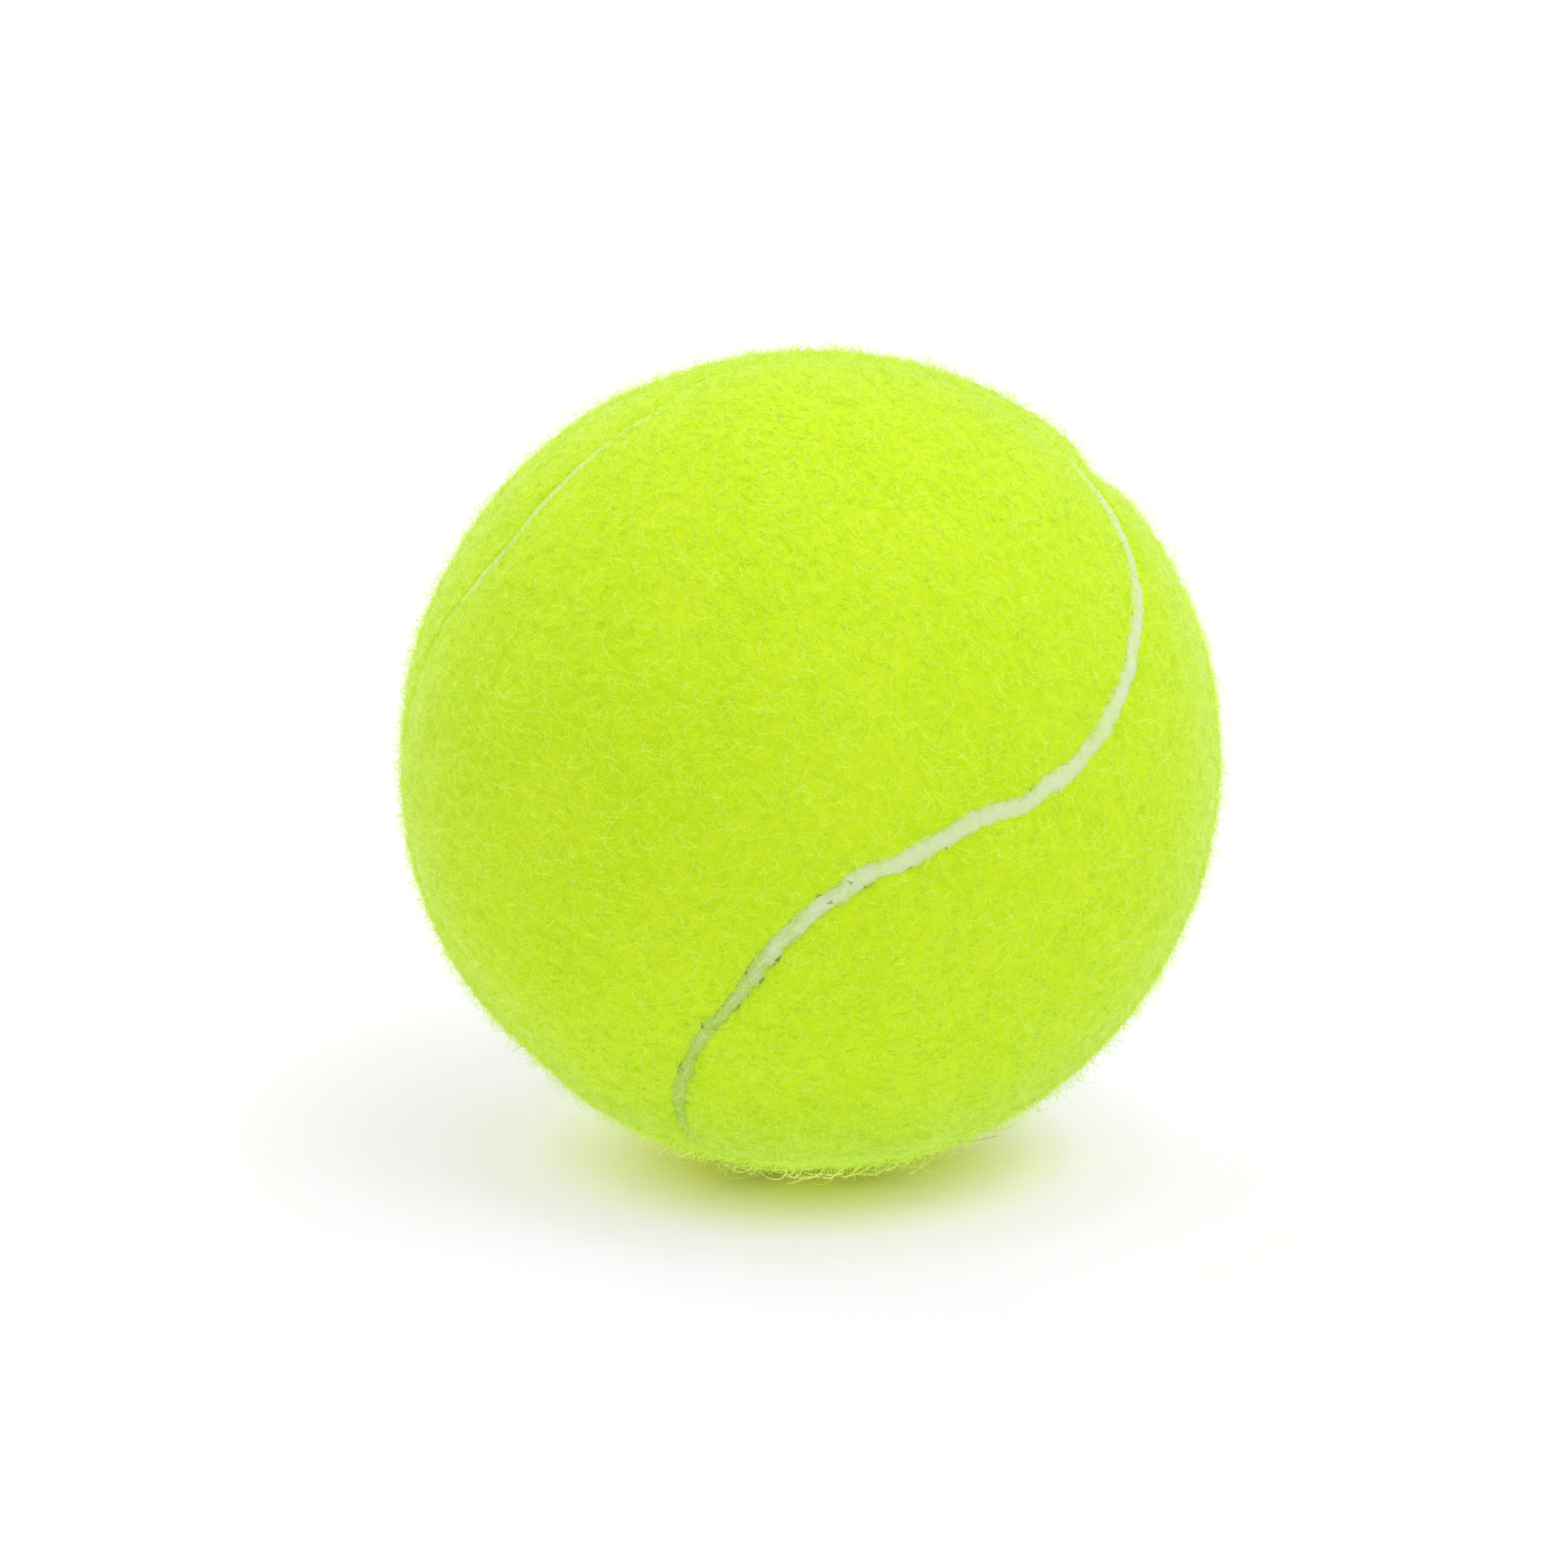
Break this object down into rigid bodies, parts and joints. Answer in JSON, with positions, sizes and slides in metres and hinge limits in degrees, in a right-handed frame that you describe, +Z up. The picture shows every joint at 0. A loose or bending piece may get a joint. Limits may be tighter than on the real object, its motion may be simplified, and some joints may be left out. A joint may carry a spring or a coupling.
{
  "type": "tennis ball",
  "caption": "Hollow rubber ball under a yellow-green felt cover of congruent dog-bone panels, with a pale recessed seam.",
  "frame": {"origin": "the ball's centre", "axes": "+Z up; seen along +Y the seam lies as in the picture; the core's joint plane is Z = 0"},
  "size_m": [0.067, 0.067, 0.067],
  "materials": {
    "core_rubber": "matt moulded rubber, buffed outside",
    "joint_cement": "cured rubber cement, slightly glossy",
    "rubber_solution": "thin cured rubber solution, satin",
    "base_cloth": "plain woven cotton base cloth",
    "felt_nap": "teased wool and nylon nap, dyed yellow-green, soft pale rim of standing fibres",
    "seam_cement": "cured edge cement, matt, slightly ragged"
  },
  "bodies": {
    "root": {"core_half_upper": "core_rubber", "core_half_lower": "core_rubber", "core_joint_cement": "joint_cement", "core_coat": "rubber_solution", "felt_base_a": "base_cloth", "felt_base_b": "base_cloth", "felt_nap_a": "felt_nap", "felt_nap_b": "felt_nap", "seam": "seam_cement"}
  },
  "joints": []
}
